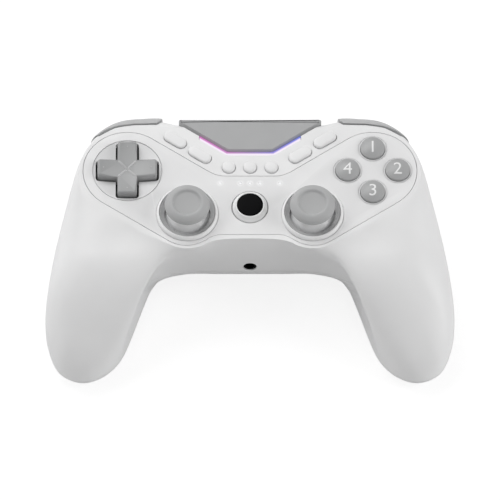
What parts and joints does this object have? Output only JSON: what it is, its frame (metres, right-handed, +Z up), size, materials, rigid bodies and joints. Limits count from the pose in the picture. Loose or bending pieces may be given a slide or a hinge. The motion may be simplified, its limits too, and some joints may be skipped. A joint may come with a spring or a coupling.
{
  "type": "game controller",
  "caption": "Twin-grip game controller with two thumb sticks, cross pad, round face buttons, shoulder buttons and triggers; opens into shells, board and motors.",
  "frame": {"origin": "on the table under the middle of the bounding box", "axes": "+X to the player's right, +Y away from the player towards the shoulder buttons, +Z up out of the level face"},
  "size_m": [0.155, 0.1054, 0.049],
  "materials": {
    "white_plastic": "fine satin moulding",
    "grey_plastic": "satin moulding",
    "grey_rubber": "soft matte",
    "gloss_black": "polished",
    "light_guide": "translucent, lit from inside",
    "white_lens": "translucent",
    "dark_plastic": "plain moulding",
    "board": "solder mask",
    "silicone": "matte silicone",
    "steel": "plain",
    "weight_metal": "sintered"
  },
  "bodies": {
    "housing": {"front_shell": "white_plastic", "back_shell": "white_plastic", "faceplate": "white_plastic", "top_cover": "grey_plastic", "left_stick_ring": "grey_plastic", "right_stick_ring": "grey_plastic", "left_stick_frame": "dark_plastic", "left_bracket": "dark_plastic", "left_trigger_spring": "steel", "left_motor": "steel", "right_stick_frame": "dark_plastic", "right_bracket": "dark_plastic", "right_trigger_spring": "steel", "right_motor": "steel", "light_bar": "light_guide", "indicator_lenses": "white_lens", "shoulder_pins": "steel", "main_board": "board", "pad_membrane": "silicone", "button_membrane": "silicone", "menu_switches": "dark_plastic", "bumper_switches": "dark_plastic", "audio_jack": "gloss_black", "usb_socket": "steel", "case_screws": "steel", "board_screws": "steel"},
    "dpad_rocker": {"dpad_pivot": "dark_plastic"},
    "dpad": {"dpad": "grey_plastic"},
    "home": {"home_button": "white_plastic", "home_lens": "gloss_black"},
    "button_north": {"button_north": "grey_plastic"},
    "button_east": {"button_east": "grey_plastic"},
    "button_south": {"button_south": "grey_plastic"},
    "button_west": {"button_west": "grey_plastic"},
    "menu_left": {"menu_left": "white_plastic"},
    "menu_middle": {"menu_middle": "white_plastic"},
    "menu_right": {"menu_right": "white_plastic"},
    "pill_left_outer": {"pill_left_outer": "white_plastic"},
    "pill_left_inner": {"pill_left_inner": "white_plastic"},
    "pill_right_inner": {"pill_right_inner": "white_plastic"},
    "pill_right_outer": {"pill_right_outer": "white_plastic"},
    "left_bumper": {"left_bumper": "grey_plastic"},
    "right_bumper": {"right_bumper": "grey_plastic"},
    "left_trigger": {"left_trigger": "grey_plastic"},
    "right_trigger": {"right_trigger": "grey_plastic"},
    "left_motor_weight": {"left_motor_weight": "weight_metal"},
    "right_motor_weight": {"right_motor_weight": "weight_metal"},
    "left_stick_seat": {"left_stick_seat": "dark_plastic"},
    "left_stick_yoke": {"left_stick_yoke": "dark_plastic"},
    "left_stick": {"left_stick_shaft": "steel", "left_stick_cap": "grey_rubber"},
    "right_stick_seat": {"right_stick_seat": "dark_plastic"},
    "right_stick_yoke": {"right_stick_yoke": "dark_plastic"},
    "right_stick": {"right_stick_shaft": "steel", "right_stick_cap": "grey_rubber"}
  },
  "joints": [
    {"name": "dpad_tilt_up_down", "type": "hinge", "parent": "housing", "child": "dpad_rocker", "pos_m": [-0.0465, 0.02, 0.037], "axis": [1, 0, 0], "range_deg": [-5, 5], "stiffness_Nm_per_rad": 0.05, "deforming": ["pad_membrane"]},
    {"name": "dpad_tilt_left_right", "type": "hinge", "parent": "dpad_rocker", "child": "dpad", "pos_m": [-0.0465, 0.02, 0.037], "axis": [0, 1, 0], "range_deg": [-5, 5], "stiffness_Nm_per_rad": 0.05, "deforming": ["pad_membrane"]},
    {"name": "press_north", "type": "slide", "parent": "housing", "child": "button_north", "axis": [0, 0, -1], "range_m": [0, 0.0013], "stiffness_N_per_m": 300, "springref_m": -0.0015, "deforming": ["button_membrane"]},
    {"name": "press_east", "type": "slide", "parent": "housing", "child": "button_east", "axis": [0, 0, -1], "range_m": [0, 0.0013], "stiffness_N_per_m": 300, "springref_m": -0.0015, "deforming": ["button_membrane"]},
    {"name": "press_south", "type": "slide", "parent": "housing", "child": "button_south", "axis": [0, 0, -1], "range_m": [0, 0.0013], "stiffness_N_per_m": 300, "springref_m": -0.0015, "deforming": ["button_membrane"]},
    {"name": "press_west", "type": "slide", "parent": "housing", "child": "button_west", "axis": [0, 0, -1], "range_m": [0, 0.0013], "stiffness_N_per_m": 300, "springref_m": -0.0015, "deforming": ["button_membrane"]},
    {"name": "press_home", "type": "slide", "parent": "housing", "child": "home", "axis": [0, 0, -1], "range_m": [0, 0.0006], "stiffness_N_per_m": 900, "springref_m": -0.001},
    {"name": "press_menu_left", "type": "slide", "parent": "housing", "child": "menu_left", "axis": [0, 0, -1], "range_m": [0, 0.0006], "stiffness_N_per_m": 900, "springref_m": -0.001},
    {"name": "press_menu_middle", "type": "slide", "parent": "housing", "child": "menu_middle", "axis": [0, 0, -1], "range_m": [0, 0.0006], "stiffness_N_per_m": 900, "springref_m": -0.001},
    {"name": "press_menu_right", "type": "slide", "parent": "housing", "child": "menu_right", "axis": [0, 0, -1], "range_m": [0, 0.0006], "stiffness_N_per_m": 900, "springref_m": -0.001},
    {"name": "press_pill_left_outer", "type": "slide", "parent": "housing", "child": "pill_left_outer", "axis": [0, 0, -1], "range_m": [0, 0.0006], "stiffness_N_per_m": 900, "springref_m": -0.001},
    {"name": "press_pill_left_inner", "type": "slide", "parent": "housing", "child": "pill_left_inner", "axis": [0, 0, -1], "range_m": [0, 0.0006], "stiffness_N_per_m": 900, "springref_m": -0.001},
    {"name": "press_pill_right_inner", "type": "slide", "parent": "housing", "child": "pill_right_inner", "axis": [0, 0, -1], "range_m": [0, 0.0006], "stiffness_N_per_m": 900, "springref_m": -0.001},
    {"name": "press_pill_right_outer", "type": "slide", "parent": "housing", "child": "pill_right_outer", "axis": [0, 0, -1], "range_m": [0, 0.0006], "stiffness_N_per_m": 900, "springref_m": -0.001},
    {"name": "left_stick_click", "type": "slide", "parent": "housing", "child": "left_stick_seat", "axis": [0, 0, -1], "range_m": [0, 0.0005], "stiffness_N_per_m": 4000, "springref_m": -0.0006},
    {"name": "left_stick_fore_aft", "type": "hinge", "parent": "left_stick_seat", "child": "left_stick_yoke", "pos_m": [-0.0237, 0.001, 0.031], "axis": [1, 0, 0], "range_deg": [-13, 13], "stiffness_Nm_per_rad": 0.03},
    {"name": "left_stick_left_right", "type": "hinge", "parent": "left_stick_yoke", "child": "left_stick", "pos_m": [-0.0237, 0.001, 0.031], "axis": [0, 1, 0], "range_deg": [-13, 13], "stiffness_Nm_per_rad": 0.03},
    {"name": "right_stick_click", "type": "slide", "parent": "housing", "child": "right_stick_seat", "axis": [0, 0, -1], "range_m": [0, 0.0005], "stiffness_N_per_m": 4000, "springref_m": -0.0006},
    {"name": "right_stick_fore_aft", "type": "hinge", "parent": "right_stick_seat", "child": "right_stick_yoke", "pos_m": [0.0237, 0.001, 0.031], "axis": [1, 0, 0], "range_deg": [-13, 13], "stiffness_Nm_per_rad": 0.03},
    {"name": "right_stick_left_right", "type": "hinge", "parent": "right_stick_yoke", "child": "right_stick", "pos_m": [0.0237, 0.001, 0.031], "axis": [0, 1, 0], "range_deg": [-13, 13], "stiffness_Nm_per_rad": 0.03},
    {"name": "left_bumper_press", "type": "hinge", "parent": "housing", "child": "left_bumper", "pos_m": [-0.041, 0.0375, 0.0336], "axis": [-1, 0, 0], "range_deg": [0, 4], "stiffness_Nm_per_rad": 0.3, "springref_deg": -4.58},
    {"name": "right_bumper_press", "type": "hinge", "parent": "housing", "child": "right_bumper", "pos_m": [0.041, 0.0375, 0.0336], "axis": [-1, 0, 0], "range_deg": [0, 4], "stiffness_Nm_per_rad": 0.3, "springref_deg": -4.58},
    {"name": "left_trigger_pull", "type": "hinge", "parent": "housing", "child": "left_trigger", "pos_m": [-0.041, 0.037, 0.0246], "axis": [-1, 0, 0], "range_deg": [0, 18], "stiffness_Nm_per_rad": 0.04, "springref_deg": -20.05, "deforming": ["left_trigger_spring"]},
    {"name": "right_trigger_pull", "type": "hinge", "parent": "housing", "child": "right_trigger", "pos_m": [0.041, 0.037, 0.0246], "axis": [-1, 0, 0], "range_deg": [0, 18], "stiffness_Nm_per_rad": 0.04, "springref_deg": -20.05, "deforming": ["right_trigger_spring"]},
    {"name": "left_motor_spin", "type": "hinge", "parent": "housing", "child": "left_motor_weight", "pos_m": [-0.056, -0.0115, 0.015], "axis": [0, 1, 0], "continuous": true},
    {"name": "right_motor_spin", "type": "hinge", "parent": "housing", "child": "right_motor_weight", "pos_m": [0.056, -0.0115, 0.015], "axis": [0, 1, 0], "continuous": true}
  ]
}
